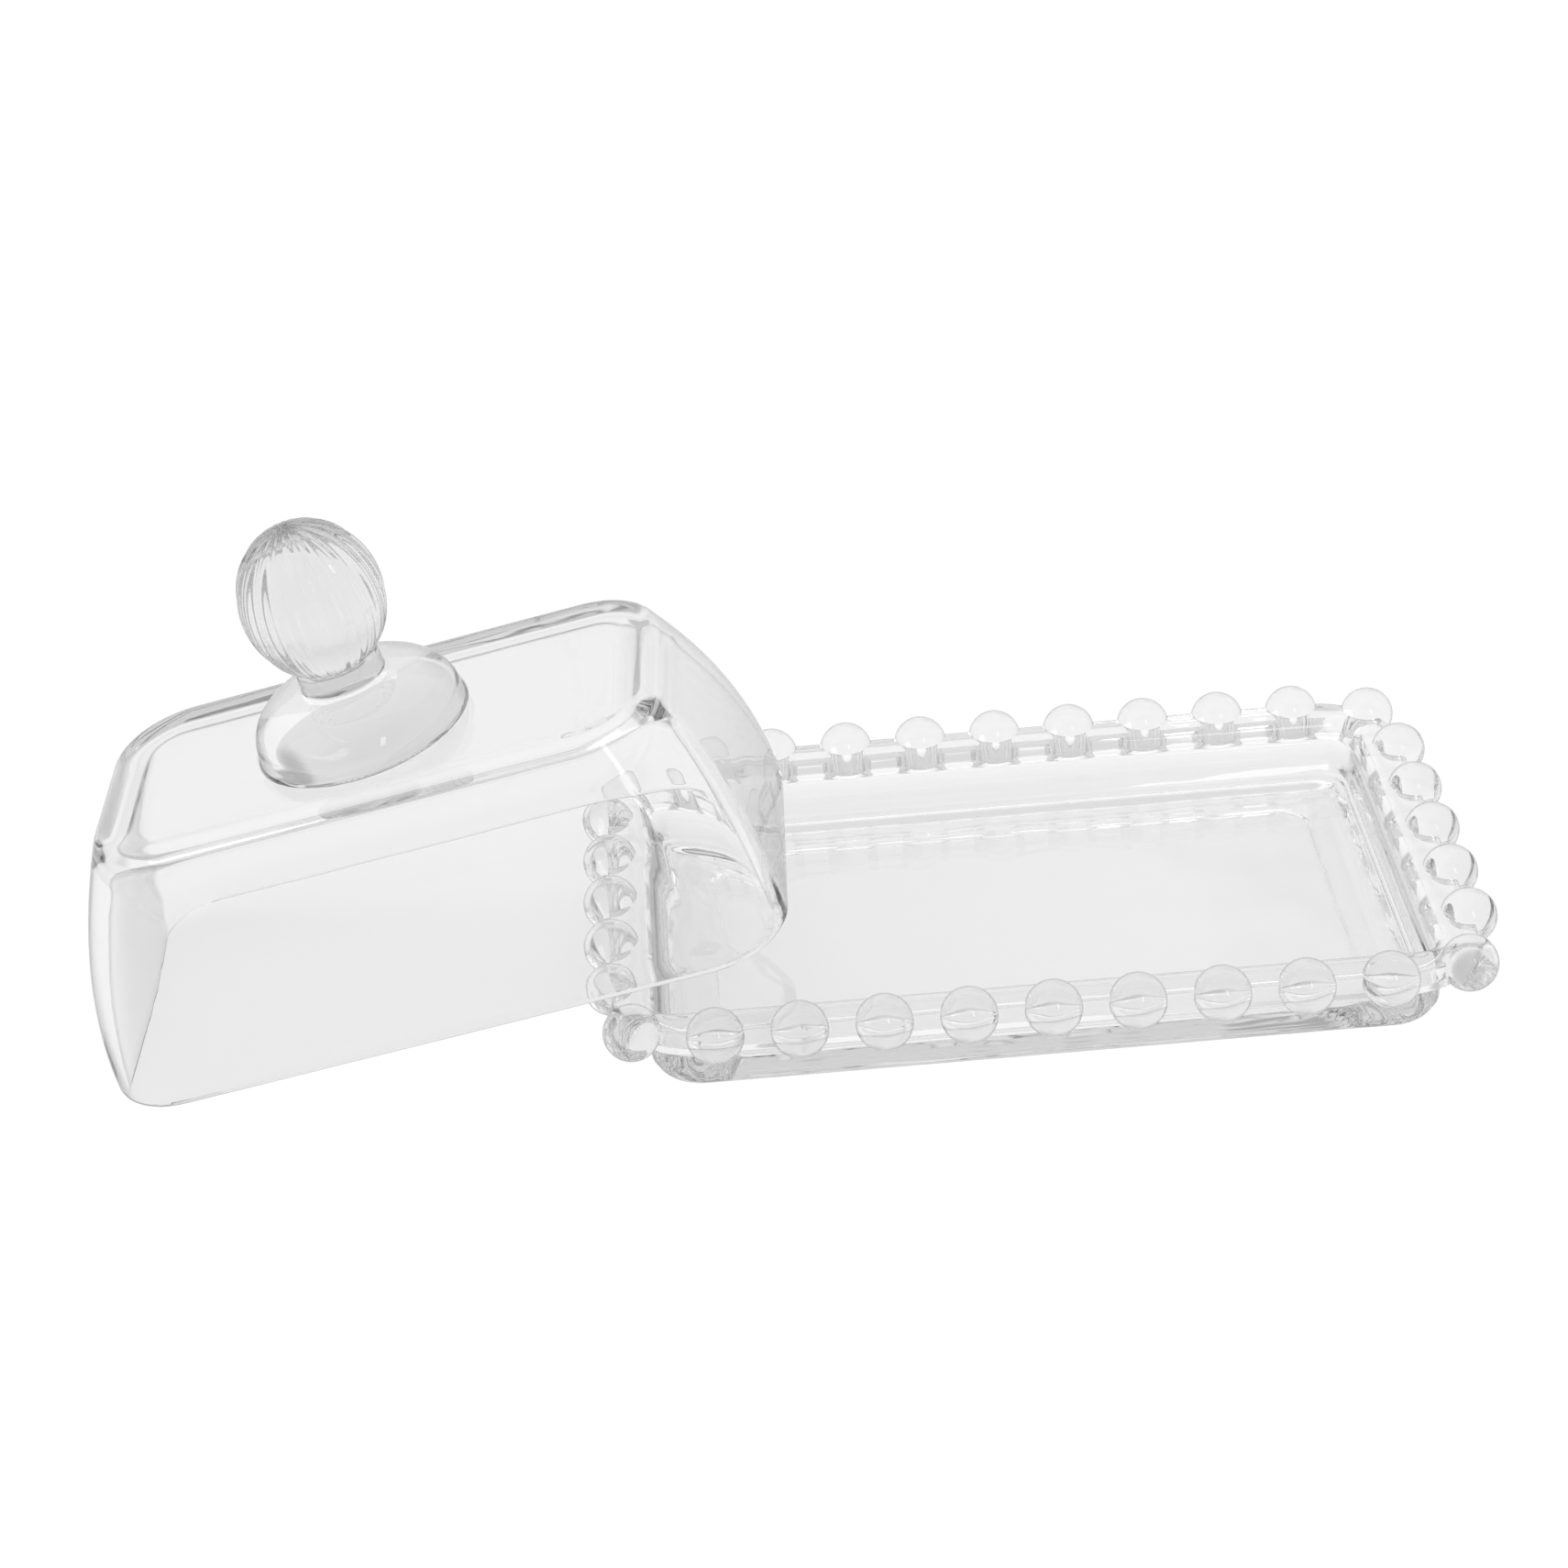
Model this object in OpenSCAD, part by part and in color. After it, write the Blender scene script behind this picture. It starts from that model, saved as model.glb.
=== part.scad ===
// Pressed-glass butter dish: a shallow tray with a rim of glass balls, and a loaf-shaped
// cover with a fluted ball knob. The cover leans on one end of the tray, with its far edge
// on the table. The origin is the centre of the tray's foot, and +X runs along the tray.

/* [Rim beads] */
// Diameter of each glass ball on the rim
bead_diameter = 12.5; // [11.5:0.1:13]
// Distance between neighbouring balls along a straight side
bead_pitch = 18; // [17.5:0.1:18.5]
// Steps between the balls of a long side, which has one ball more
long_side_steps = 8; // [8:2:10]
// Steps between the balls of a short side, which has one ball more
short_side_steps = 4; // [4:2:6]
// Distance past the last ball of one side to the line of the next side
corner_step = 21.55; // [21:0.05:22.5]
// How far a corner ball sits in from both lines
corner_bead_inset = 3.85; // [3.2:0.05:4.5]
// Height of the balls' centres above the table
bead_height = 17; // [16.6:0.1:17.1]

/* [Tray] */
// Height of the flange's flat top
flange_top = 18.7; // [18.2:0.1:19]
// Thickness of the flange
flange_thickness = 6.3; // [5.6:0.1:7]
// How far the flange stands outside the line of the ball centres
flange_overhang = 0.4; // [0:0.1:1]
// Corner radius of the flange in plan
flange_corner = 18; // [15:0.5:20]
// How far the outer wall is set in from the balls' line on the long sides
side_wall_inset = 5.6; // [5.2:0.1:6.4]
// How far the outer wall is set in from the balls' line at the ends
end_wall_inset = 7.2; // [6.4:0.1:8]
// How far the foot strip is set in from the outer wall
foot_step = 0.8; // [0.4:0.1:1.2]
// Height of the foot strip below the wall
foot_height = 2; // [1.5:0.1:2.5]
// Corner radius of the outer wall in plan
wall_corner = 11; // [9:0.5:13]
// Depth of the hollow under the floor
recess_depth = 0.9; // [0.5:0.1:1.2]
// How far the hollow under the floor is set in from the line of the ball centres
recess_inset = 22.5; // [21:0.5:25]
// Height of the floor's upper face
floor_top = 3.8; // [3:0.1:4.2]
// Inset of the floor's edge, where the cove starts
floor_inset = 16.8; // [16:0.1:18]
// Height at which the cove becomes the upright lip
lip_bottom = 13; // [12.4:0.1:13.6]
// Inset of the lip at its bottom
lip_inset = 9.5; // [9.3:0.1:10]
// Radius of the rounded inner edge of the flange
shoulder_radius = 3; // [2.6:0.1:3.1]
// Corner radius of the well at the lip
well_corner = 4.5; // [4:0.5:6]

/* [Cover] */
// Length of the cover at its rim
cover_length = 153.6; // [148:0.2:158]
// Width of the cover at its rim
cover_width = 88.4; // [86:0.2:90]
// Height of the cover without its knob
cover_height = 55.8; // [52:0.2:58]
// How far each end leans in between the rim and the top
end_lean = 14.5; // [12:0.2:16]
// How far each side leans in between the rim and the top
side_lean = 13; // [11:0.2:14]
// Bulge of the walls: 1 is straight, more is rounder
wall_bulge = 1.96; // [1.4:0.01:2.2]
// Corner radius of the cover in plan
cover_corner = 18.2; // [15:0.2:22]
// Radius of the shoulder round the flat top
cover_shoulder = 4.6; // [3:0.2:7]
// Thickness of the wall at the rim
rim_thickness = 3.2; // [2.8:0.1:4]
// Thickness of the wall just below the shoulder
upper_thickness = 5; // [4:0.1:6]
// Thickness of the flat top
top_thickness = 5.6; // [5:0.1:7]
// Corner radius of the hollow in plan
hollow_corner = 13; // [10:0.5:15]
// Radius between the hollow's walls and its roof
hollow_shoulder = 11; // [8:0.5:13]

/* [Knob] */
// Diameter of the knob's domed foot
knob_foot_diameter = 46.6; // [42:0.2:48]
// Height of the knob's foot up to the collar
knob_foot_height = 12.2; // [10:0.2:13]
// Height of the upright edge of the knob's foot
knob_foot_edge = 1.8; // [1.2:0.2:3]
// Diameter of the collar between the foot and the ball
collar_diameter = 18.6; // [17:0.2:20]
// Height of the collar
collar_height = 5; // [4:0.2:6.4]
// Diameter of the knob's ball over its ribs
ball_diameter = 31.4; // [30:0.2:33]
// Height of the knob's ball from its cut base to its pole
ball_height = 32.6; // [31:0.2:34]
// Number of flutes round the ball
flute_count = 18; // [14:1:22]
// Depth of the flutes in the ball's upper part
flute_depth = 0.7; // [0.3:0.1:1]
// Share of that depth which is left near the collar
flute_share_at_collar = 0.5; // [0.2:0.1:1]
// How far the knob stands from the middle of the cover, towards its low end
knob_offset = 2.8; // [0:0.2:5]

/* [Resting place of the cover] */
// Angle at which the cover leans, with its inner end up
lean_angle = 12.3; // [12.3:0.1:13]
// Turn of the cover about the upright axis
turn_angle = -2; // [-2.4:0.1:0]
// Distance of the cover's middle from the tray's middle, along the tray
cover_reach = 128; // [128:0.1:131]
// Distance of the cover's middle from the tray's middle, towards the front
cover_shift = 6.2; // [4:0.1:6.6]

/* [Hidden] */
$fn = 64;

// Half lengths of the rounded rectangle that the ball centres follow
path_x = bead_pitch * long_side_steps / 2 + corner_step;
path_y = bead_pitch * short_side_steps / 2 + corner_step;
flange_bottom = flange_top - flange_thickness;
floor_corner = 2.5;
recess_corner = 6;
// How far the upright lip draws in from its bottom up to the shoulder
lip_draft = 0.5;
// Steps of the arcs in the well's and the cover's sections
arc_steps = 6;
wall_steps = 9;
// Points of each quarter turn in plan
corner_steps = 7;
// The cutters run past the faces that they open
cut_over = 0.6;
// The well's shoulder stops short of level, so that it leaves a clean edge in the flange's top
shoulder_stop = 72;
cover_x = cover_length / 2;
cover_y = cover_width / 2;
ball_radius = ball_diameter / 2;
// The ball is cut flat where it meets the collar, at this latitude
ball_cut = -57;
// The last ring, which closes the ball at its pole
ball_pole = 86;
ball_rings = 18;
points_per_flute = 4;
// Flutes fade out within this many degrees of the pole
flute_fade = 16;
// Height on the ball, as a share of its radius, above which the flutes are full. The same
// distance below the middle they are at their share near the collar
flute_even_from = 0.7;
glass_clear = [0.93, 0.95, 0.95];
glass_bright = [0.98, 0.99, 0.99];

// A corner of a rounded rectangle as points: quarter is 0 to 3, counted from +X +Y
function corner_points(hx, hy, r, quarter) =
    let (sx = (quarter == 0 || quarter == 3) ? 1 : -1, sy = quarter < 2 ? 1 : -1)
    [
        for (i = [0:corner_steps])
            let (a = 90 * (quarter + i / corner_steps))
            [sx * (hx - r) + r * cos(a), sy * (hy - r) + r * sin(a)]
    ];

// The outline of a rounded rectangle as points at one height
function ring(hx, hy, r, z) = [
    for (quarter = [0:3])
        for (p = corner_points(hx, hy, r, quarter)) [p.x, p.y, z]
];

ring_size = 4 * (corner_steps + 1);

// A closed solid through rings of equal length, from the lowest one to the highest one
module loft(rings, size) {
    last = (len(rings) - 1) * size;
    sides = [
        for (k = [0:len(rings) - 2])
            for (i = [0:size - 1])
                let (j = (i + 1) % size, a = k * size, b = a + size)
                each [[a + i, b + j, a + j], [a + i, b + i, b + j]]
    ];
    bottom = [for (i = [0:size - 1]) i];
    top = [for (i = [size - 1:-1:0]) last + i];
    polyhedron(points = [for (r = rings) each r], faces = concat(sides, [bottom, top]));
}

// A plan of the tray, set in from the line of the ball centres at its ends and its sides
module tray_plan(end_inset, side_inset, corner) {
    hx = path_x - end_inset;
    hy = path_y - side_inset;
    square([2 * hx, 2 * (hy - corner)], center = true);
    square([2 * (hx - corner), 2 * hy], center = true);
    for (sx = [-1, 1])
        for (sy = [-1, 1])
            translate([sx * (hx - corner), sy * (hy - corner)])
                circle(r = corner);
}

// The well: a cove round the floor, an upright lip and a rounded inner edge to the flange
function well_ring(inset, corner, z) = ring(path_x - inset, path_y - inset, corner, z);

shoulder_centre = flange_top - shoulder_radius;
shoulder_inset = lip_inset - lip_draft - shoulder_radius;
shoulder_end_inset = shoulder_inset + shoulder_radius * cos(shoulder_stop);
shoulder_end_z = shoulder_centre + shoulder_radius * sin(shoulder_stop);

module well() {
    cove = [
        for (i = [0:arc_steps])
            let (a = 90 * i / arc_steps, lip_part = sin(a))
            well_ring(
                floor_inset - (floor_inset - lip_inset) * lip_part,
                floor_corner + (well_corner - floor_corner) * lip_part,
                floor_top + (lip_bottom - floor_top) * (1 - cos(a))
            )
    ];
    shoulder = [
        for (i = [0:arc_steps])
            let (a = shoulder_stop * i / arc_steps, grow = 1 - cos(a))
            well_ring(
                shoulder_inset + shoulder_radius * cos(a),
                well_corner + shoulder_radius * grow,
                shoulder_centre + shoulder_radius * sin(a)
            )
    ];
    mouth = [
        well_ring(
            shoulder_end_inset - cut_over * tan(shoulder_stop),
            well_corner + shoulder_radius,
            shoulder_end_z + cut_over
        )
    ];
    loft(concat(cove, shoulder, mouth), ring_size);
}

// Balls
module bead_at(x, y) {
    translate([x, y, bead_height])
        sphere(d = bead_diameter);
}

module beads_long_side(side) {
    for (k = [-long_side_steps / 2:long_side_steps / 2])
        bead_at(k * bead_pitch, side * path_y);
}

module beads_short_side(side) {
    for (k = [-short_side_steps / 2:short_side_steps / 2])
        bead_at(side * path_x, k * bead_pitch);
}

module beads_at_corners() {
    for (sx = [-1, 1])
        for (sy = [-1, 1])
            bead_at(sx * (path_x - corner_bead_inset), sy * (path_y - corner_bead_inset));
}

// Tray: foot strip, wall and flange in one, with the well, the hollow foot and the seats
// that the balls are fused into
module tray() {
    color(glass_clear)
        difference() {
            union() {
                linear_extrude(foot_height)
                    tray_plan(end_wall_inset + foot_step, side_wall_inset + foot_step, wall_corner);
                translate([0, 0, foot_height])
                    linear_extrude(flange_bottom - foot_height)
                        tray_plan(end_wall_inset, side_wall_inset, wall_corner);
                translate([0, 0, flange_bottom])
                    linear_extrude(flange_thickness)
                        tray_plan(-flange_overhang, -flange_overhang, flange_corner);
            }
            well();
            translate([0, 0, -cut_over])
                linear_extrude(recess_depth + cut_over)
                    tray_plan(recess_inset, recess_inset, recess_corner);
            beads_long_side(-1);
            beads_long_side(1);
            beads_short_side(-1);
            beads_short_side(1);
            beads_at_corners();
        }
}

module rim_beads_front() {
    color(glass_bright)
        beads_long_side(-1);
}

module rim_beads_back() {
    color(glass_bright)
        beads_long_side(1);
}

module rim_beads_left() {
    color(glass_bright)
        beads_short_side(-1);
}

module rim_beads_right() {
    color(glass_bright)
        beads_short_side(1);
}

module rim_beads_corners() {
    color(glass_bright)
        beads_at_corners();
}

// Puts what is drawn upright, with its rim on z = 0, into the cover's leaning place
module leaning() {
    translate([-cover_reach, -cover_shift, cover_x * sin(lean_angle)])
        rotate([0, -lean_angle, turn_angle])
            children();
}

// Share of the lean that the wall has at a height between the rim and the top
function lean_at(z) = pow(z / cover_height, wall_bulge);

// The wall's slope off upright where it meets the shoulder
shoulder_slope = atan((end_lean + side_lean) / 2 * wall_bulge / cover_height);
wall_top = cover_height - cover_shoulder * (1 - sin(shoulder_slope));

// Outer skin of the cover: bulging walls, then the shoulder up to the flat top
function cover_outside() = concat(
    [
        for (i = [0:wall_steps])
            let (z = wall_top * i / wall_steps)
            ring(cover_x - end_lean * lean_at(z), cover_y - side_lean * lean_at(z), cover_corner, z)
    ],
    [
        for (i = [1:arc_steps])
            let (
                a = shoulder_slope + (90 - shoulder_slope) * i / arc_steps,
                inset = cover_shoulder * (cos(shoulder_slope) - cos(a))
            )
            ring(
                cover_x - end_lean * lean_at(wall_top) - inset,
                cover_y - side_lean * lean_at(wall_top) - inset,
                cover_corner - inset,
                cover_height - cover_shoulder * (1 - sin(a))
            )
    ]
);

roof = cover_height - top_thickness;
hollow_wall_top = roof - hollow_shoulder * (1 - sin(shoulder_slope));

// Wall thickness, which grows from the rim up to the shoulder
function thickness_at(z) = rim_thickness + (upper_thickness - rim_thickness) * z / hollow_wall_top;

function hollow_x(z) = cover_x - end_lean * lean_at(z) - thickness_at(z);

function hollow_y(z) = cover_y - side_lean * lean_at(z) - thickness_at(z);

// Inner skin of the cover, from just below the rim up to the roof
function cover_inside() = concat(
    [ring(hollow_x(0), hollow_y(0), hollow_corner, -cut_over)],
    [
        for (i = [1:wall_steps])
            let (z = hollow_wall_top * i / wall_steps)
            ring(hollow_x(z), hollow_y(z), hollow_corner, z)
    ],
    [
        for (i = [1:arc_steps])
            let (
                a = shoulder_slope + (90 - shoulder_slope) * i / arc_steps,
                inset = hollow_shoulder * (cos(shoulder_slope) - cos(a))
            )
            ring(
                hollow_x(hollow_wall_top) - inset,
                hollow_y(hollow_wall_top) - inset,
                hollow_corner - inset,
                roof - hollow_shoulder * (1 - sin(a))
            )
    ]
);

module cover_shell() {
    color(glass_clear)
        leaning()
            difference() {
                loft(cover_outside(), ring_size);
                loft(cover_inside(), ring_size);
            }
}

// Puts a piece of the knob on the cover's flat top
module on_top(height) {
    leaning()
        translate([-knob_offset, 0, cover_height + height])
            children();
}

// Radius of the knob's foot at each step of its dome
function dome_radius(part) =
    collar_diameter / 2 + (knob_foot_diameter - collar_diameter) / 2 * cos(90 * part);

function dome_height(part) = knob_foot_edge + (knob_foot_height - knob_foot_edge) * sin(90 * part);

module knob_foot() {
    dome = [for (i = [0:wall_steps]) [dome_radius(i / wall_steps), dome_height(i / wall_steps)]];
    color(glass_clear)
        on_top(0)
            rotate_extrude()
                polygon(concat([[0, 0], [knob_foot_diameter / 2, 0]], dome, [[0, knob_foot_height]]));
}

module knob_collar() {
    color(glass_bright)
        on_top(knob_foot_height)
            cylinder(d = collar_diameter, h = collar_height);
}

// Share of the flutes' full depth at a latitude: they grow shallower towards the collar
function flute_share(latitude) =
    let (climb = max(0, min(1, (sin(latitude) + flute_even_from) / (2 * flute_even_from))))
    flute_share_at_collar + (1 - flute_share_at_collar) * climb;

// How deep the flutes cut into the ball at a latitude and a turn about its axis
function flute_at(latitude, turn) =
    flute_depth * flute_share(latitude) * min(1, (90 - abs(latitude)) / flute_fade)
        * (1 - cos(flute_count * turn)) / 2;

ball_half_height = ball_height / (1 - sin(ball_cut));

function ball_ring(latitude) = [
    for (i = [0:flute_count * points_per_flute - 1])
        let (
            turn = 360 * i / (flute_count * points_per_flute),
            r = ball_radius * cos(latitude) - flute_at(latitude, turn)
        )
        [r * cos(turn), r * sin(turn), ball_half_height * (sin(latitude) - sin(ball_cut))]
];

module knob_ball() {
    color(glass_bright)
        on_top(knob_foot_height + collar_height)
            loft(
                [
                    for (i = [0:ball_rings])
                        ball_ring(ball_cut + (ball_pole - ball_cut) * i / ball_rings)
                ],
                flute_count * points_per_flute
            );
}

tray();
rim_beads_front();
rim_beads_back();
rim_beads_left();
rim_beads_right();
rim_beads_corners();
cover_shell();
knob_foot();
knob_collar();
knob_ball();
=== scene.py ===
import math

import bmesh
import bpy
from mathutils import Euler, Matrix, Vector


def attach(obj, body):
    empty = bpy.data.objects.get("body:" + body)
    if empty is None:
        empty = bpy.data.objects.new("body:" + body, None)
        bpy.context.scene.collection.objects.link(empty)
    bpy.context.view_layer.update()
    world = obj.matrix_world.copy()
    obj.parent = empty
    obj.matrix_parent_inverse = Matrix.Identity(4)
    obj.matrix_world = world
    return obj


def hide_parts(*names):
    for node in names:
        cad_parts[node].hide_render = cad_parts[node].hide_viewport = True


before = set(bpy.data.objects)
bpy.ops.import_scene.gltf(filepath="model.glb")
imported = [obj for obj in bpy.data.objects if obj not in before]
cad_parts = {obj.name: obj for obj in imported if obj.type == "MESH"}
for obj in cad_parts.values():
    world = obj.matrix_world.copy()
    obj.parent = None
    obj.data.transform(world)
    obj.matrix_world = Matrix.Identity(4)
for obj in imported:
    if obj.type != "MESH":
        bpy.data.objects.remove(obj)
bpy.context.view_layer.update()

# ---- Tray ----
# The tray is one piece of clear soda glass, pressed in a mould and fire-polished: a hollow foot,
# an outer wall, a broad flange, an upright lip, a cove and a flat floor. All its edges are
# softened, because the fire polish melts them slightly.
mm = 0.001
rim_half_length = 93.55
rim_half_width = 57.55
ball_centre_height = 17.0
flange_top = 18.7
flange_bottom = 12.4
floor_top = 3.8
arc_steps = 14


def outline(half_x, half_y, corner, height):
    """A rounded rectangle at one height, in millimetres.

    Points just past each corner keep the sides flat."""
    longest_run = 1.5
    share_of_side = 0.2
    points = []
    for quarter, (sx, sy) in enumerate(((1, 1), (-1, 1), (-1, -1), (1, -1))):
        cx, cy = sx * (half_x - corner), sy * (half_y - corner)
        start = math.radians(90 * quarter)
        run = min(longest_run, share_of_side * min(half_x - corner, half_y - corner))
        into = (-math.sin(start), math.cos(start))
        points.append((cx + corner * math.cos(start) - run * into[0],
                       cy + corner * math.sin(start) - run * into[1], height))
        for step in range(arc_steps + 1):
            a = start + math.radians(90 * step / arc_steps)
            points.append((cx + corner * math.cos(a), cy + corner * math.sin(a), height))
        out = (-math.cos(start), -math.sin(start))
        points.append((cx + corner * math.cos(start + math.pi / 2) + run * out[0],
                       cy + corner * math.sin(start + math.pi / 2) + run * out[1], height))
    return points


def loft(name, levels):
    """A closed mesh through outlines of equal length, from the first flat end to the last."""
    shape = bmesh.new()
    rings = [[shape.verts.new([c * mm for c in p]) for p in level] for level in levels]
    for low, high in zip(rings, rings[1:]):
        for i in range(len(low)):
            j = (i + 1) % len(low)
            shape.faces.new((low[i], low[j], high[j], high[i]))
    shape.faces.new(rings[0][::-1])
    shape.faces.new(rings[-1])
    mesh = bpy.data.meshes.new(name)
    shape.to_mesh(mesh)
    shape.free()
    made = bpy.data.objects.new(name, mesh)
    bpy.context.scene.collection.objects.link(made)
    return made


def rounding(inset, height, radius, first, last, steps=6):
    """Points of a rounded edge in a section, as (inset, height).

    Angles are in degrees: 0 points inwards, 90 up."""
    return [(inset + radius * math.cos(math.radians(first + (last - first) * k / steps)),
             height + radius * math.sin(math.radians(first + (last - first) * k / steps)))
            for k in range(steps + 1)]


def tray_level(inset, height, corner, end_extra=0.0):
    return outline(rim_half_length - inset - end_extra, rim_half_width - inset, corner, height)


# The section, from the middle of the underside out, up and in again to the middle of the floor.
# Each level is an inset from the line of balls, a height and a corner radius. Under the flange the
# end walls stand further in than the long walls.
end_wall_inset = 1.6
foot_inset = 6.4
wall_inset = 5.6
wall_corner = 11
flange_edge = -0.4
flange_corner = 18
lip_inset = 6.0
lip_radius = 3.0
lip_corner = 7.5
cove_foot_inset = 16.8
cove_reach = 7.3
cove_top = 13.0
cove_corner = 4.5
cove_steps = 12
tray_levels = [tray_level(25.5, 0.9, 4), tray_level(24.0, 0.9, 5)]
tray_levels += [tray_level(i, z, 6) for i, z in rounding(22.95, 0.45, 0.45, 90, 180, 4)]
tray_levels += [tray_level(21.0, 0.0, 7)]
tray_levels += [tray_level(8.2, 0.0, 9.2, end_wall_inset)]
tray_levels += [tray_level(i, z, wall_corner - (i - foot_inset), end_wall_inset)
                for i, z in rounding(7.2, 0.8, 0.8, 270, 180)]
tray_levels += [tray_level(i, z, wall_corner, end_wall_inset) for i, z in ((6.3, 1.75), (6.05, 2.0))]
tray_levels += [tray_level(i, z, wall_corner - (i - wall_inset), end_wall_inset)
                for i, z in rounding(6.1, 2.6, 0.5, 250, 180, 4)]
tray_levels += [tray_level(wall_inset, z, wall_corner, end_wall_inset) for z in (4.0, 9.8)]
tray_levels += [tray_level(i, z, wall_corner + (wall_inset - i), end_wall_inset)
                for i, z in rounding(4.4, 11.2, 1.2, 0, 90)]
tray_levels += [tray_level(2.6, flange_bottom, 14.4)]
tray_levels += [tray_level(i, z, flange_corner - (i - flange_edge))
                for i, z in rounding(0.5, 13.3, 0.9, 270, 180)]
tray_levels += [tray_level(flange_edge, z, flange_corner) for z in (14.4, 17.0)]
tray_levels += [tray_level(i, z, flange_corner - (i - flange_edge))
                for i, z in rounding(0.3, 18.0, 0.7, 180, 90)]
tray_levels += [tray_level(1.6, flange_top, 15.6), tray_level(5.0, flange_top, 8.5)]
tray_levels += [tray_level(i, z, lip_corner - (i - lip_inset))
                for i, z in rounding(lip_inset, flange_top - lip_radius, lip_radius, 90, 0, 12)]
tray_levels += [tray_level(9.2, 14.6, cove_corner), tray_level(9.5, cove_top, cove_corner)]
for k in range(1, cove_steps + 1):
    turn = math.radians(90 * k / cove_steps)
    tray_levels.append(tray_level(cove_foot_inset - cove_reach * math.cos(turn),
                                  cove_top - (cove_top - floor_top) * math.sin(turn),
                                  cove_corner - 2.0 * math.sin(turn)))
tray_levels += [tray_level(18.2, floor_top, 2.4), tray_level(20.0, floor_top, 2.3)]
tray = loft("pressed_glass_tray", tray_levels)

# ---- Balls of the rim ----
# Thirty-two balls of clear glass stand round the rim, half sunk in the flange's outer edge. They
# are pressed in one with the tray, so they're joined to it in one solid with no skin between.
balls_tree = bpy.data.node_groups.new("row of rim balls", "GeometryNodeTree")
for label, kind in (("Ball Diameter", "NodeSocketFloat"), ("Pitch", "NodeSocketFloat"),
                    ("Long Side Steps", "NodeSocketInt"), ("Short Side Steps", "NodeSocketInt"),
                    ("Half Length", "NodeSocketFloat"), ("Half Width", "NodeSocketFloat"),
                    ("Corner Inset", "NodeSocketFloat"), ("Height", "NodeSocketFloat"),
                    ("Glass", "NodeSocketMaterial")):
    balls_tree.interface.new_socket(label, in_out="INPUT", socket_type=kind)
balls_tree.interface.new_socket("Geometry", in_out="OUTPUT", socket_type="NodeSocketGeometry")
balls_in = balls_tree.nodes.new("NodeGroupInput")
balls_out = balls_tree.nodes.new("NodeGroupOutput")


def sum_of(tree, operation, a, b):
    """A Math node on two sockets or numbers, and its result."""
    node = tree.nodes.new("ShaderNodeMath")
    node.operation = operation
    for k, value in enumerate((a, b)):
        if value is None:
            continue
        if isinstance(value, (int, float)):
            node.inputs[k].default_value = value
        else:
            tree.links.new(value, node.inputs[k])
    return node.outputs[0]


def ball_row(steps, along_x, side):
    """Points of one straight row, centred on its side of the rim."""
    row = balls_tree.nodes.new("GeometryNodeMeshLine")
    row.mode = "OFFSET"
    balls_tree.links.new(sum_of(balls_tree, "ADD", steps, 1), row.inputs["Count"])
    row_length = sum_of(balls_tree, "MULTIPLY", steps, balls_in.outputs["Pitch"])
    first = sum_of(balls_tree, "MULTIPLY", row_length, -0.5)
    half_size = balls_in.outputs["Half Width" if along_x else "Half Length"]
    across = sum_of(balls_tree, "MULTIPLY", half_size, side)
    place = balls_tree.nodes.new("ShaderNodeCombineXYZ")
    offset = balls_tree.nodes.new("ShaderNodeCombineXYZ")
    balls_tree.links.new(first, place.inputs["X" if along_x else "Y"])
    balls_tree.links.new(across, place.inputs["Y" if along_x else "X"])
    balls_tree.links.new(balls_in.outputs["Height"], place.inputs["Z"])
    balls_tree.links.new(balls_in.outputs["Pitch"], offset.inputs["X" if along_x else "Y"])
    balls_tree.links.new(place.outputs[0], row.inputs["Start Location"])
    balls_tree.links.new(offset.outputs[0], row.inputs["Offset"])
    return row.outputs["Mesh"]


corner_grid = balls_tree.nodes.new("GeometryNodeMeshGrid")
corner_grid.inputs["Vertices X"].default_value = 2
corner_grid.inputs["Vertices Y"].default_value = 2
for label, size in (("Half Length", "Size X"), ("Half Width", "Size Y")):
    inner = sum_of(balls_tree, "SUBTRACT", balls_in.outputs[label], balls_in.outputs["Corner Inset"])
    balls_tree.links.new(sum_of(balls_tree, "MULTIPLY", inner, 2.0), corner_grid.inputs[size])
corner_lift = balls_tree.nodes.new("GeometryNodeTransform")
corner_place = balls_tree.nodes.new("ShaderNodeCombineXYZ")
balls_tree.links.new(balls_in.outputs["Height"], corner_place.inputs["Z"])
balls_tree.links.new(corner_place.outputs[0], corner_lift.inputs["Translation"])
balls_tree.links.new(corner_grid.outputs["Mesh"], corner_lift.inputs["Geometry"])
ball_points = balls_tree.nodes.new("GeometryNodeJoinGeometry")
straight_rows = [ball_row(balls_in.outputs[steps], along_x, side)
                 for steps, along_x in (("Long Side Steps", True), ("Short Side Steps", False))
                 for side in (-1, 1)]
for row in (*straight_rows, corner_lift.outputs["Geometry"]):
    balls_tree.links.new(row, ball_points.inputs["Geometry"])
one_ball = balls_tree.nodes.new("GeometryNodeMeshUVSphere")
one_ball.inputs["Segments"].default_value = 48
one_ball.inputs["Rings"].default_value = 32
ball_radius = sum_of(balls_tree, "MULTIPLY", balls_in.outputs["Ball Diameter"], 0.5)
balls_tree.links.new(ball_radius, one_ball.inputs["Radius"])
set_balls = balls_tree.nodes.new("GeometryNodeInstanceOnPoints")
balls_tree.links.new(ball_points.outputs["Geometry"], set_balls.inputs["Points"])
balls_tree.links.new(one_ball.outputs["Mesh"], set_balls.inputs["Instance"])
real_balls = balls_tree.nodes.new("GeometryNodeRealizeInstances")
balls_tree.links.new(set_balls.outputs["Instances"], real_balls.inputs["Geometry"])
ball_finish = balls_tree.nodes.new("GeometryNodeSetMaterial")
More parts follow.
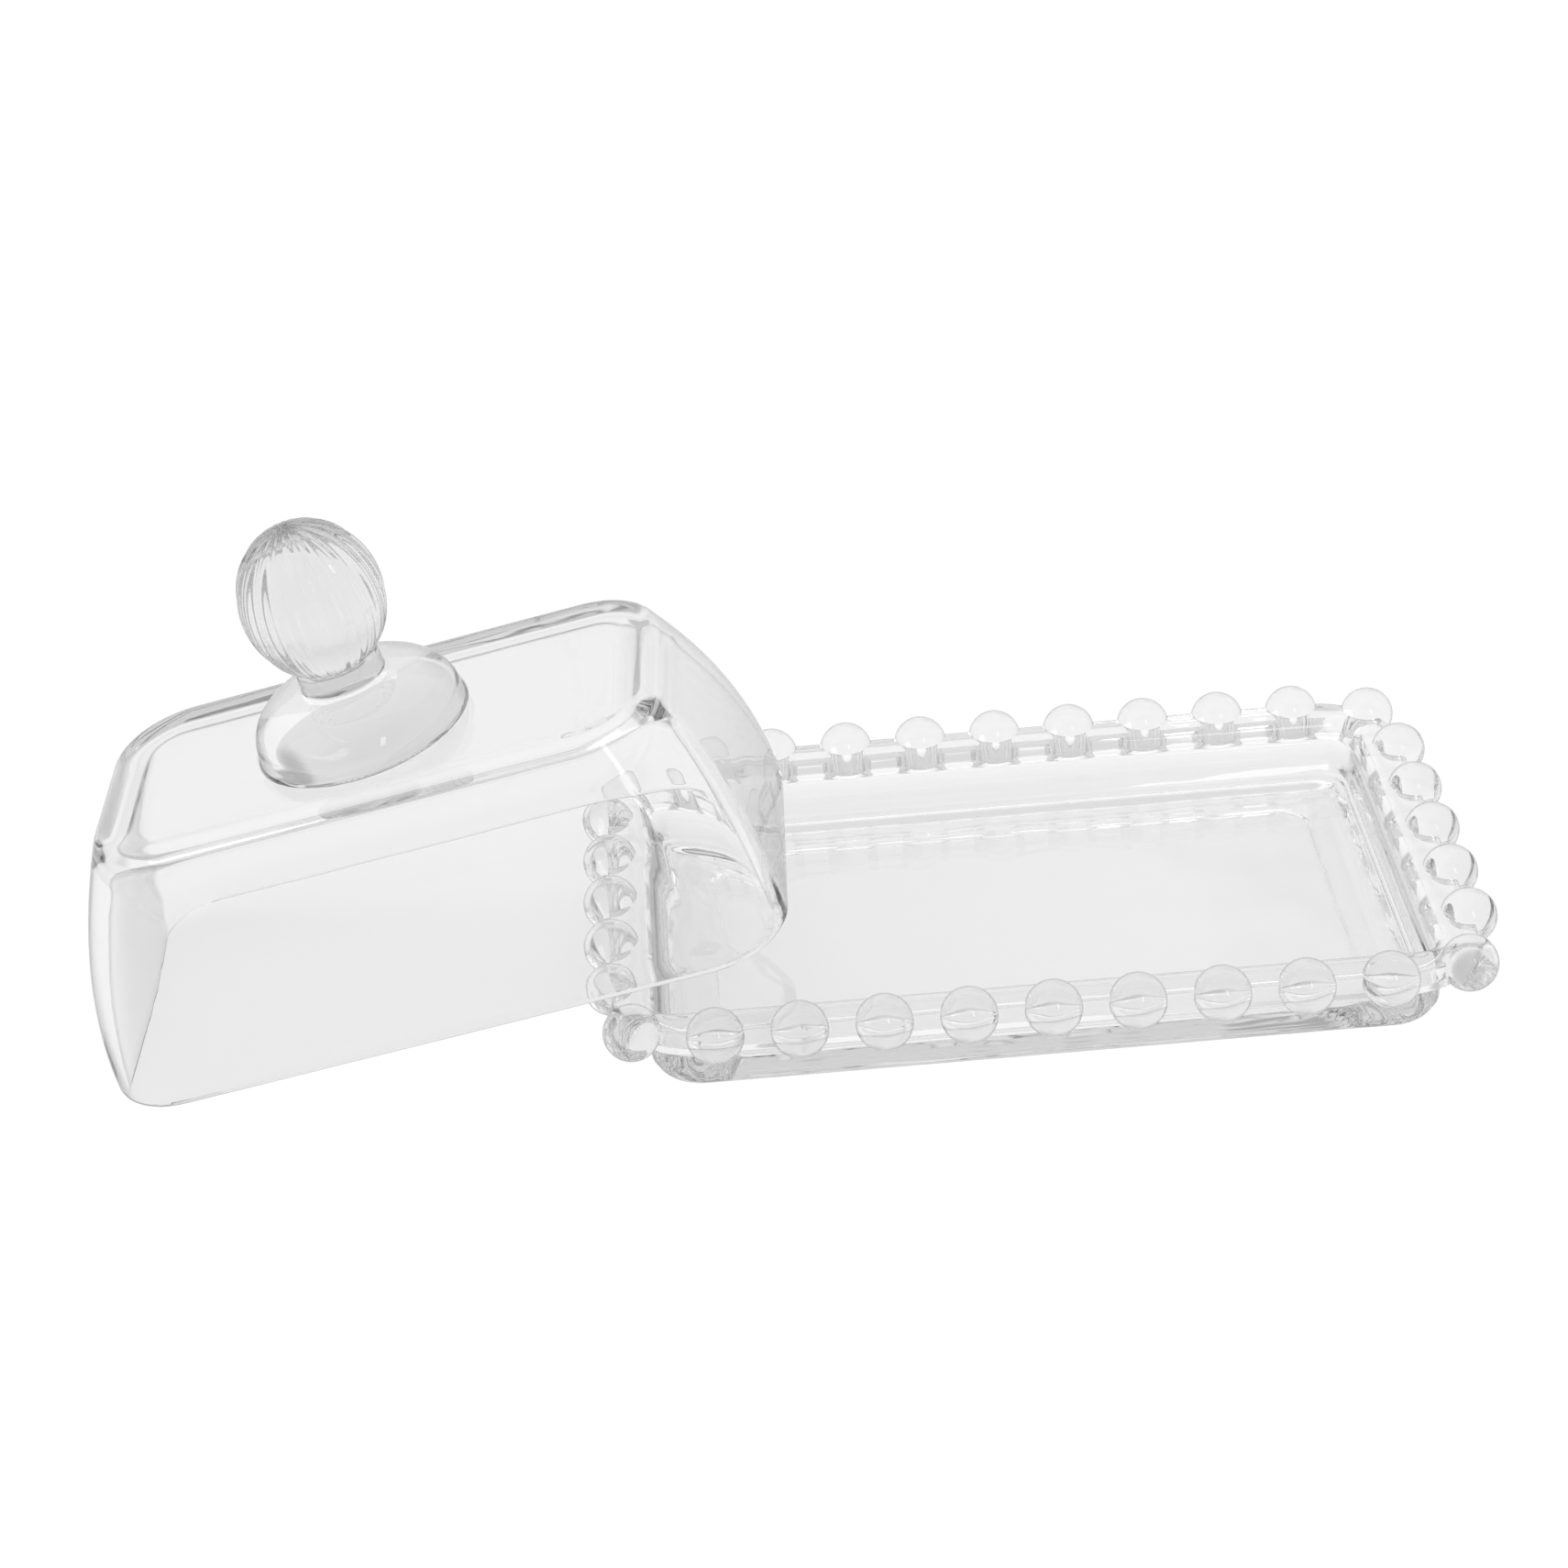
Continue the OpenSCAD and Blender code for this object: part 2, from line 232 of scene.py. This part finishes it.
balls_tree.links.new(real_balls.outputs["Geometry"], ball_finish.inputs["Geometry"])
balls_tree.links.new(balls_in.outputs["Glass"], ball_finish.inputs["Material"])
balls_tree.links.new(ball_finish.outputs["Geometry"], balls_out.inputs["Geometry"])

# The glass of the tray and its balls. Its skin isn't quite flat: the mould leaves slow waves, and
# the fire polish a faint orange peel, so that lights and edges seen in it waver slightly.
wave_skin = bpy.data.node_groups.new("pressed glass skin", "ShaderNodeTree")
wave_skin.interface.new_socket("Position", in_out="INPUT", socket_type="NodeSocketVector")
wave_skin.interface.new_socket("Slow Wave Size", in_out="INPUT", socket_type="NodeSocketFloat")
wave_skin.interface.new_socket("Peel Size", in_out="INPUT", socket_type="NodeSocketFloat")
wave_skin.interface.new_socket("Peel Share", in_out="INPUT", socket_type="NodeSocketFloat")
wave_skin.interface.new_socket("Height", in_out="OUTPUT", socket_type="NodeSocketFloat")
wave_skin.interface.new_socket("Roughness", in_out="OUTPUT", socket_type="NodeSocketFloat")
skin_in = wave_skin.nodes.new("NodeGroupInput")
skin_out = wave_skin.nodes.new("NodeGroupOutput")
slow_wave = wave_skin.nodes.new("ShaderNodeTexNoise")
slow_wave.inputs["Detail"].default_value = 1.0
peel = wave_skin.nodes.new("ShaderNodeTexNoise")
peel.inputs["Detail"].default_value = 0.0
handling = wave_skin.nodes.new("ShaderNodeTexNoise")
handling.inputs["Scale"].default_value = 30.0
handling.inputs["Detail"].default_value = 4.0
for noise in (slow_wave, peel, handling):
    wave_skin.links.new(skin_in.outputs["Position"], noise.inputs["Vector"])
for noise, size in ((slow_wave, "Slow Wave Size"), (peel, "Peel Size")):
    wave_skin.links.new(sum_of(wave_skin, "DIVIDE", 1.0, skin_in.outputs[size]), noise.inputs["Scale"])
peel_part = sum_of(wave_skin, "MULTIPLY", peel.outputs["Fac"], skin_in.outputs["Peel Share"])
wave_skin.links.new(sum_of(wave_skin, "ADD", slow_wave.outputs["Fac"], peel_part), skin_out.inputs["Height"])
wiped = wave_skin.nodes.new("ShaderNodeMapRange")
wiped.inputs["From Min"].default_value = 0.35
wiped.inputs["From Max"].default_value = 0.75
wiped.inputs["To Min"].default_value = 0.0
wiped.inputs["To Max"].default_value = 0.03
wave_skin.links.new(handling.outputs["Fac"], wiped.inputs["Value"])
wave_skin.links.new(wiped.outputs["Result"], skin_out.inputs["Roughness"])


def clear_glass(name, thick_grey, slow_size, peel_size):
    """Clear pressed glass, greyer where it is thick and darker where it is seen edge-on by painted shade.

    The painted edge shade gives it an outline on white. Lamp light goes straight through without bending, so
    it makes no bright patches on the table."""
    glass = bpy.data.materials.new(name)
    glass.use_nodes = True
    tree = glass.node_tree
    tree.nodes.clear()
    place = tree.nodes.new("ShaderNodeTexCoord")
    skin = tree.nodes.new("ShaderNodeGroup")
    skin.node_tree = wave_skin
    skin.inputs["Slow Wave Size"].default_value = slow_size
    skin.inputs["Peel Size"].default_value = peel_size
    skin.inputs["Peel Share"].default_value = 0.015
    tree.links.new(place.outputs["Object"], skin.inputs["Position"])
    relief = tree.nodes.new("ShaderNodeBump")
    relief.inputs["Strength"].default_value = 1.0
    relief.inputs["Distance"].default_value = 0.0004
    tree.links.new(skin.outputs["Height"], relief.inputs["Height"])
    body = tree.nodes.new("ShaderNodeBsdfPrincipled")
    # Painted shade: where the glass turns edge-on, its base colour goes from near white to near black,
    # standing in for dark edge reflections.
    edge_on = tree.nodes.new("ShaderNodeLayerWeight")
    edge_on.inputs["Blend"].default_value = 0.5
    painted_edge_shade_share = tree.nodes.new("ShaderNodeMapRange")
    painted_edge_shade_share.interpolation_type = "SMOOTHSTEP"
    painted_edge_shade_share.inputs["From Min"].default_value = 0.54
    painted_edge_shade_share.inputs["From Max"].default_value = 0.96
    tree.links.new(edge_on.outputs["Facing"], painted_edge_shade_share.inputs["Value"])
    painted_edge_shade = tree.nodes.new("ShaderNodeMix")
    painted_edge_shade.data_type = "RGBA"
    painted_edge_shade.inputs[6].default_value = (0.99, 0.99, 0.99, 1.0)
    painted_edge_shade.inputs[7].default_value = (0.12, 0.12, 0.12, 1.0)
    tree.links.new(painted_edge_shade_share.outputs["Result"], painted_edge_shade.inputs["Factor"])
    tree.links.new(painted_edge_shade.outputs[2], body.inputs["Base Color"])
    body.inputs["Metallic"].default_value = 0.0
    body.inputs["Transmission Weight"].default_value = 1.0
    body.inputs["IOR"].default_value = 1.52
    tree.links.new(skin.outputs["Roughness"], body.inputs["Roughness"])
    tree.links.new(relief.outputs["Normal"], body.inputs["Normal"])
    clear = tree.nodes.new("ShaderNodeBsdfTransparent")
    clear.inputs["Color"].default_value = (0.95, 0.95, 0.95, 1.0)
    rays = tree.nodes.new("ShaderNodeLightPath")
    soft_light = tree.nodes.new("ShaderNodeMath")
    soft_light.operation = "MAXIMUM"
    tree.links.new(rays.outputs["Is Shadow Ray"], soft_light.inputs[0])
    tree.links.new(rays.outputs["Is Diffuse Ray"], soft_light.inputs[1])
    pick = tree.nodes.new("ShaderNodeMixShader")
    tree.links.new(soft_light.outputs[0], pick.inputs["Fac"])
    tree.links.new(body.outputs["BSDF"], pick.inputs[1])
    tree.links.new(clear.outputs["BSDF"], pick.inputs[2])
    depth = tree.nodes.new("ShaderNodeVolumeAbsorption")
    depth.inputs["Color"].default_value = (0.5, 0.5, 0.5, 1.0)
    depth.inputs["Density"].default_value = thick_grey
    surface = tree.nodes.new("ShaderNodeOutputMaterial")
    tree.links.new(pick.outputs["Shader"], surface.inputs["Surface"])
    tree.links.new(depth.outputs["Volume"], surface.inputs["Volume"])
    return glass


tray_glass = clear_glass("clear tray glass", 7.0, 0.030, 0.006)

balls = bpy.data.objects.new("rim_balls", bpy.data.meshes.new("rim_balls"))
bpy.context.scene.collection.objects.link(balls)
row_of_balls = balls.modifiers.new("row of balls", "NODES")
row_of_balls.node_group = balls_tree
for label, value in (("Ball Diameter", 12.46 * mm), ("Pitch", 18.0 * mm), ("Long Side Steps", 8),
                     ("Short Side Steps", 4), ("Half Length", rim_half_length * mm),
                     ("Half Width", rim_half_width * mm), ("Corner Inset", 3.85 * mm),
                     ("Height", ball_centre_height * mm), ("Glass", tray_glass)):
    row_of_balls[balls_tree.interface.items_tree[label].identifier] = value


def made_real(thing):
    """Turns what an object's modifiers make into its own plain mesh, and removes the modifiers."""
    bpy.context.view_layer.update()
    graph = bpy.context.evaluated_depsgraph_get()
    plain = bpy.data.meshes.new_from_object(thing.evaluated_get(graph))
    thing.modifiers.clear()
    thing.data = plain


def fused(base, part):
    """Joins a part to a base in one solid of glass, as the mould presses them, and drops the part."""
    join = base.modifiers.new("fused", "BOOLEAN")
    join.operation = "UNION"
    join.solver = "MANIFOLD"
    join.object = part
    made_real(base)
    bpy.data.objects.remove(part)


def polished(thing, glass, crease):
    """Gives a finished solid its glass, smooth where it curves and sharp only at real creases."""
    thing.data.materials.clear()
    thing.data.materials.append(glass)
    for face in thing.data.polygons:
        face.material_index = 0
    thing.data.shade_smooth()
    thing.data.set_sharp_from_angle(angle=math.radians(crease))


made_real(balls)
fused(tray, balls)
real_crease = 28
polished(tray, tray_glass, real_crease)
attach(tray, "tray")
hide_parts("tray", "rim_beads_front", "rim_beads_back", "rim_beads_left",
            "rim_beads_right", "rim_beads_corners")

# ---- Cover ----
# The cover is a loaf-shaped shell of the same glass, thicker towards its top, with a rounded rim
# and a flat top. The mould's core draws out downwards, so its walls lean in as they rise.
cover_half_length = 76.8
cover_half_width = 44.2
cover_height = 55.8
lean = math.radians(12.3)
# The walls curve in faster as they rise: each end by end_draw and each side by side_draw at the top.
end_draw = 14.5
side_draw = 13.0
bow_power = 1.96
outer_corner = 18.2
hollow_corner_low = 13.0
hollow_corner_high = 15.0
rim_wall = 3.2
top_wall = 5.0
rim_round = 1.5
wall_foot = 1.6


def drawn_in(height, thickness, inset, corner, level_height):
    """The outline where a wall has reached a height, moved in and put at a level of its own."""
    share = (height / cover_height) ** bow_power if height > 0 else 0.0
    return outline(cover_half_length - end_draw * share - thickness - inset,
                   cover_half_width - side_draw * share - thickness - inset, corner, level_height)


def cover_level(height, thickness, corner):
    return drawn_in(height, thickness, 0.0, corner, height)


wall_slope = math.atan((end_draw + side_draw) / 2 * bow_power / cover_height)
outer_shoulder = 4.6
inner_shoulder = 11.0
roof_thickness = 5.6
roof = cover_height - roof_thickness
inner_top = roof - inner_shoulder * (1 - math.sin(wall_slope))
outer_top = cover_height - outer_shoulder * (1 - math.sin(wall_slope))


def shoulder_level(top, radius, wall_top, thickness, corner, turn):
    """One level of the rounding between a wall and a flat top or roof."""
    inset = radius * (math.cos(wall_slope) - math.cos(turn))
    return drawn_in(wall_top, thickness, inset, corner - inset, top - radius * (1 - math.sin(turn)))


# The section, from the middle of the roof inside, down to the rim and up outside to the flat top.
roof_steps, inner_steps, rim_steps, outer_steps, top_steps = 14, 12, 6, 14, 10
cover_levels = [outline(38.0, 10.5, 1.2, roof), outline(41.5, 12.0, 1.6, roof)]
for k in range(roof_steps, 0, -1):
    turn = wall_slope + (math.pi / 2 - wall_slope) * k / roof_steps
    cover_levels.append(shoulder_level(roof, inner_shoulder, inner_top, top_wall,
                                       hollow_corner_high, turn))
for k in range(inner_steps, 0, -1):
    height = inner_top + (wall_foot - inner_top) * (inner_steps - k) / inner_steps
    risen = height / inner_top
    cover_levels.append(cover_level(height, rim_wall + (top_wall - rim_wall) * risen,
                                    hollow_corner_low
                                    + (hollow_corner_high - hollow_corner_low) * risen))
for k in range(rim_steps + 1):
    a = math.radians(180 * k / rim_steps)
    cover_levels.append(cover_level(rim_round * (1 - math.sin(a)), rim_wall / 2 * (1 + math.cos(a)),
                                    (outer_corner + hollow_corner_low) / 2
                                    - (outer_corner - hollow_corner_low) / 2 * math.cos(a)))
for k in range(1, outer_steps + 1):
    height = wall_foot + (outer_top - wall_foot) * k / outer_steps
    cover_levels.append(cover_level(height, 0.0, outer_corner))
for k in range(1, top_steps + 1):
    turn = wall_slope + (math.pi / 2 - wall_slope) * k / top_steps
    cover_levels.append(shoulder_level(cover_height, outer_shoulder, outer_top, 0.0,
                                       outer_corner, turn))
cover_levels += [outline(56.0, 25.0, 13.0, cover_height), outline(54.0, 23.5, 12.0, cover_height)]
cover = loft("pressed_glass_cover", cover_levels)

# ---- Knob ----
# The knob is in one with the cover: a domed foot, a short straight collar and a ball with shallow
# flutes, deepest in its upper part. They give the fingers a hold. It stands a little off the middle.
turn_steps = 96
knob_shift = -2.8


def round_level(radius, height):
    """A circle about the knob's axis at one height above the cover's rim."""
    return [(knob_shift + radius * math.cos(2 * math.pi * k / turn_steps),
             radius * math.sin(2 * math.pi * k / turn_steps), height) for k in range(turn_steps)]


# The section of the foot and collar, from inside the cover's top up to inside the ball.
foot_radius = 24.3
foot_edge = 1.0
dome_start = 1.8
dome_reach = 14.0
dome_rise = 10.4
collar_radius = 9.3
collar_start = 12.9
collar_length = 4.1
collar_bulge = 0.05
foot_levels = [round_level(22.0, cover_height - 1.5), round_level(foot_radius, cover_height - 0.4)]
for a in (math.radians(degrees) for degrees in (8, 30, 55, 90)):
    foot_levels.append(round_level(foot_radius - foot_edge * math.sin(a),
                                   cover_height + foot_edge - foot_edge * math.cos(a)))
for a in (math.radians(degrees) for degrees in (4, 12, 20, 28, 36, 44, 52, 60, 68, 76, 83)):
    foot_levels.append(round_level(collar_radius + dome_reach * math.cos(a),
                                   cover_height + dome_start + dome_rise * math.sin(a)))
foot_levels += [round_level(10.2, cover_height + 12.25), round_level(9.5, cover_height + 12.6)]
for degrees in (0, 30, 60, 90, 120, 150, 180):
    foot_levels.append(round_level(collar_radius + collar_bulge * math.sin(math.radians(degrees)),
                                   cover_height + collar_start + collar_length * degrees / 180))
foot_levels += [round_level(8.9, cover_height + 17.4), round_level(6.0, cover_height + 17.6)]
knob_foot = loft("knob_foot_and_collar", foot_levels)

flutes_tree = bpy.data.node_groups.new("flutes of the knob", "GeometryNodeTree")
for label, kind in (("Ball Width", "NodeSocketFloat"), ("Half Height", "NodeSocketFloat"),
                    ("Flute Count", "NodeSocketInt"), ("Flute Depth", "NodeSocketFloat"),
                    ("Bare Pole", "NodeSocketFloat"), ("Share At Collar", "NodeSocketFloat"),
                    ("Glass", "NodeSocketMaterial")):
    flutes_tree.interface.new_socket(label, in_out="INPUT", socket_type=kind)
flutes_tree.interface.new_socket("Geometry", in_out="OUTPUT", socket_type="NodeSocketGeometry")
flutes_in = flutes_tree.nodes.new("NodeGroupInput")
flutes_out = flutes_tree.nodes.new("NodeGroupOutput")
plain_ball = flutes_tree.nodes.new("GeometryNodeMeshUVSphere")
plain_ball.inputs["Segments"].default_value = 360
plain_ball.inputs["Rings"].default_value = 120
plain_ball.inputs["Radius"].default_value = 1.0
where = flutes_tree.nodes.new("GeometryNodeInputPosition")
parts = flutes_tree.nodes.new("ShaderNodeSeparateXYZ")
flutes_tree.links.new(where.outputs[0], parts.inputs[0])
turn_about = sum_of(flutes_tree, "ARCTAN2", parts.outputs["Y"], parts.outputs["X"])
flute_turn = sum_of(flutes_tree, "MULTIPLY", turn_about, flutes_in.outputs["Flute Count"])
round_trip = sum_of(flutes_tree, "COSINE", flute_turn, None)
hollow = sum_of(flutes_tree, "MULTIPLY", sum_of(flutes_tree, "SUBTRACT", 1.0, round_trip), 0.5)
height_squared = sum_of(flutes_tree, "MULTIPLY", parts.outputs["Z"], parts.outputs["Z"])
from_axis = sum_of(flutes_tree, "SQRT", sum_of(flutes_tree, "SUBTRACT", 1.0, height_squared), None)
pole_share = sum_of(flutes_tree, "DIVIDE", from_axis, flutes_in.outputs["Bare Pole"])
fade = sum_of(flutes_tree, "MINIMUM", pole_share, 1.0)
towards_pole = flutes_tree.nodes.new("ShaderNodeMapRange")
towards_pole.interpolation_type = "SMOOTHSTEP"
towards_pole.inputs["From Min"].default_value = -0.7
towards_pole.inputs["From Max"].default_value = 0.7
flutes_tree.links.new(parts.outputs["Z"], towards_pole.inputs["Value"])
flutes_tree.links.new(flutes_in.outputs["Share At Collar"], towards_pole.inputs["To Min"])
full_depth = flutes_in.outputs["Flute Depth"]
depth_here = sum_of(flutes_tree, "MULTIPLY", towards_pole.outputs["Result"], full_depth)
cut = sum_of(flutes_tree, "MULTIPLY", sum_of(flutes_tree, "MULTIPLY", hollow, fade), depth_here)
half_width = sum_of(flutes_tree, "MULTIPLY", flutes_in.outputs["Ball Width"], 0.5)
width_left = sum_of(flutes_tree, "SUBTRACT", half_width, cut)
new_place = flutes_tree.nodes.new("ShaderNodeCombineXYZ")
for axis, size in (("X", width_left), ("Y", width_left), ("Z", flutes_in.outputs["Half Height"])):
    stretched = sum_of(flutes_tree, "MULTIPLY", parts.outputs[axis], size)
    flutes_tree.links.new(stretched, new_place.inputs[axis])
carve = flutes_tree.nodes.new("GeometryNodeSetPosition")
flutes_tree.links.new(plain_ball.outputs["Mesh"], carve.inputs["Geometry"])
flutes_tree.links.new(new_place.outputs[0], carve.inputs["Position"])
real_knob = flutes_tree.nodes.new("GeometryNodeRealizeInstances")
flutes_tree.links.new(carve.outputs["Geometry"], real_knob.inputs["Geometry"])
knob_finish = flutes_tree.nodes.new("GeometryNodeSetMaterial")
flutes_tree.links.new(real_knob.outputs["Geometry"], knob_finish.inputs["Geometry"])
flutes_tree.links.new(flutes_in.outputs["Glass"], knob_finish.inputs["Material"])
flutes_tree.links.new(knob_finish.outputs["Geometry"], flutes_out.inputs["Geometry"])

cover_glass = clear_glass("clear cover glass", 12.5, 0.034, 0.007)
knob_ball = bpy.data.objects.new("fluted_ball", bpy.data.meshes.new("fluted_ball"))
bpy.context.scene.collection.objects.link(knob_ball)
cut_flutes = knob_ball.modifiers.new("cut flutes", "NODES")
cut_flutes.node_group = flutes_tree
ball_half_height = 17.72
for label, value in (("Ball Width", 31.4 * mm), ("Half Height", ball_half_height * mm),
                     ("Flute Count", 18), ("Flute Depth", 0.7 * mm), ("Bare Pole", 0.12),
                     ("Share At Collar", 0.5), ("Glass", cover_glass)):
    cut_flutes[flutes_tree.interface.items_tree[label].identifier] = value
made_real(knob_ball)
ball_seat = 17.2
seat_latitude = math.radians(57)
ball_up = cover_height + ball_seat + ball_half_height * math.sin(seat_latitude)
knob_ball.data.transform(Matrix.Translation((knob_shift * mm, 0.0, ball_up * mm)))
fused(knob_foot, knob_ball)
fused(cover, knob_foot)
# The loose cover lies with its left end on the table and its right end up on the tray's end balls.
cover_x = -128.0
cover_y = -6.2
cover_turn = math.radians(-2.0)
lying = (Matrix.Translation((cover_x * mm, cover_y * mm, cover_half_length * math.sin(lean) * mm))
         @ Matrix.Rotation(cover_turn, 4, "Z") @ Matrix.Rotation(-lean, 4, "Y"))
cover.data.transform(lying)
polished(cover, cover_glass, real_crease)
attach(cover, "cover")
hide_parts("cover_shell", "knob_foot", "knob_collar", "knob_ball")

# ---- Table, light and camera ----
# A white table top under a wide soft sky, with large soft lamps above the back and at the left and
# a narrow one in front. To the camera itself table and sky are plain white, and only the glass shows
# the sky's shades. The camera looks down over the long front side.
table_radius = 6.0
table_drop = 0.0004
plain_white = 1.02
floor_mesh = bpy.data.meshes.new("white_table")
floor_shape = bmesh.new()
bmesh.ops.create_circle(floor_shape, cap_ends=True, segments=96, radius=table_radius)
floor_shape.to_mesh(floor_mesh)
floor_shape.free()
floor = bpy.data.objects.new("white_table", floor_mesh)
bpy.context.scene.collection.objects.link(floor)
table_white = bpy.data.materials.new("matt white table")
table_white.use_nodes = True
table_tree = table_white.node_tree
table_top = table_tree.nodes["Principled BSDF"]
table_top.inputs["Base Color"].default_value = (0.94, 0.94, 0.94, 1.0)
table_top.inputs["Roughness"].default_value = 0.9
table_top.inputs["Specular IOR Level"].default_value = 0.1
seen_rays = table_tree.nodes.new("ShaderNodeLightPath")
bleached = table_tree.nodes.new("ShaderNodeEmission")
bleached.inputs["Strength"].default_value = plain_white
table_pick = table_tree.nodes.new("ShaderNodeMixShader")
table_tree.links.new(seen_rays.outputs["Is Camera Ray"], table_pick.inputs["Fac"])
table_tree.links.new(table_top.outputs["BSDF"], table_pick.inputs[1])
table_tree.links.new(bleached.outputs["Emission"], table_pick.inputs[2])
table_tree.links.new(table_pick.outputs["Shader"], table_tree.nodes["Material Output"].inputs["Surface"])
floor.data.materials.append(table_white)
floor.data.transform(Matrix.Translation((0.0, 0.0, -table_drop)))

world = bpy.data.worlds.new("soft studio")
bpy.context.scene.world = world
world.use_nodes = True
sky = world.node_tree
direction = sky.nodes.new("ShaderNodeTexCoord")
up_part = sky.nodes.new("ShaderNodeSeparateXYZ")
sky.links.new(direction.outputs["Generated"], up_part.inputs[0])
shade = sky.nodes.new("ShaderNodeValToRGB")
shade.color_ramp.elements[0].position = 0.0
shade.color_ramp.elements[0].color = (0.84, 0.84, 0.84, 1.0)
shade.color_ramp.elements[1].position = 0.9
shade.color_ramp.elements[1].color = (1.0, 1.0, 1.0, 1.0)
for height, grey in ((0.12, 0.86), (0.40, 0.94)):
    shade.color_ramp.elements.new(height).color = (grey, grey, grey, 1.0)
sky.links.new(up_part.outputs["Z"], shade.inputs["Fac"])


def darker_patch(colour_before, towards, starts, full, shade_left):
    """Darkens the sky smoothly around one direction, and returns the sky's colour after it."""
    closeness = sky.nodes.new("ShaderNodeVectorMath")
    closeness.operation = "DOT_PRODUCT"
    closeness.inputs[1].default_value = towards
    sky.links.new(direction.outputs["Generated"], closeness.inputs[0])
    patch = sky.nodes.new("ShaderNodeMapRange")
    patch.interpolation_type = "SMOOTHSTEP"
    patch.inputs["From Min"].default_value = starts
    patch.inputs["From Max"].default_value = full
    patch.inputs["To Min"].default_value = 1.0
    patch.inputs["To Max"].default_value = shade_left
    sky.links.new(closeness.outputs["Value"], patch.inputs["Value"])
    darkened = sky.nodes.new("ShaderNodeMix")
    darkened.data_type = "RGBA"
    darkened.blend_type = "MULTIPLY"
    darkened.inputs["Factor"].default_value = 1.0
    sky.links.new(colour_before, darkened.inputs[6])
    sky.links.new(patch.outputs["Result"], darkened.inputs[7])
    return darkened.outputs[2]


# The open front of the studio is a little darker, and so is a small gap at the back right.
front_open = darker_patch(shade.outputs["Color"], (0.05, -0.84, 0.54), 0.70, 0.90, 0.74)
with_gap = darker_patch(front_open, (0.36, 0.84, 0.41), 0.962, 0.988, 0.6)
sky.links.new(with_gap, sky.nodes["Background"].inputs["Color"])
white_sweep = sky.nodes.new("ShaderNodeBackground")
white_sweep.inputs["Strength"].default_value = plain_white
white_sweep.inputs["Color"].default_value = (1.0, 1.0, 1.0, 1.0)
straight_rays = sky.nodes.new("ShaderNodeLightPath")
sky_pick = sky.nodes.new("ShaderNodeMixShader")
sky.links.new(straight_rays.outputs["Is Camera Ray"], sky_pick.inputs["Fac"])
sky.links.new(sky.nodes["Background"].outputs["Background"], sky_pick.inputs[1])
sky.links.new(white_sweep.outputs["Background"], sky_pick.inputs[2])
sky.links.new(sky_pick.outputs["Shader"], sky.nodes["World Output"].inputs["Surface"])
sky.nodes["Background"].inputs["Strength"].default_value = 1.04


def soft_lamp(name, place, aim, size, watts):
    """A flat lamp of two side lengths, at a place and turned to face another."""
    lamp = bpy.data.lights.new(name, "AREA")
    lamp.shape = "RECTANGLE"
    lamp.size, lamp.size_y = size
    lamp.energy = watts
    lamp_object = bpy.data.objects.new(name, lamp)
    lamp_object.location = place
    lamp_object.rotation_euler = (Vector(aim) - Vector(place)).to_track_quat("-Z", "Y").to_euler()
    bpy.context.scene.collection.objects.link(lamp_object)


soft_lamp("overhead softbox", (-0.1, 0.5, 1.3), (-0.05, 0.0, 0.03), (1.8, 1.2), 1.5)
soft_lamp("left softbox", (-1.3, -0.3, 0.7), (-0.05, 0.0, 0.03), (0.9, 1.2), 1.0)
soft_lamp("front strip lamp", (0.35, -1.3, 1.0), (-0.05, 0.0, 0.05), (0.16, 0.6), 1.0)

lens = bpy.data.cameras.new("camera")
lens.sensor_width = 36.0
lens.lens = 76.19
lens.clip_end = 50.0
camera = bpy.data.objects.new("camera", lens)
camera.location = (-0.0635, -0.6323, 0.4244)
camera.rotation_euler = Euler((math.radians(58.84), math.radians(3.62), math.radians(-3.18)), "XYZ")
bpy.context.scene.collection.objects.link(camera)
bpy.context.scene.camera = camera
bpy.context.scene.view_settings.view_transform = "Standard"
glass_bounces = 32
bpy.context.scene.cycles.max_bounces = glass_bounces
bpy.context.scene.cycles.glossy_bounces = glass_bounces
bpy.context.scene.cycles.transmission_bounces = glass_bounces
bpy.context.scene.cycles.transparent_max_bounces = glass_bounces
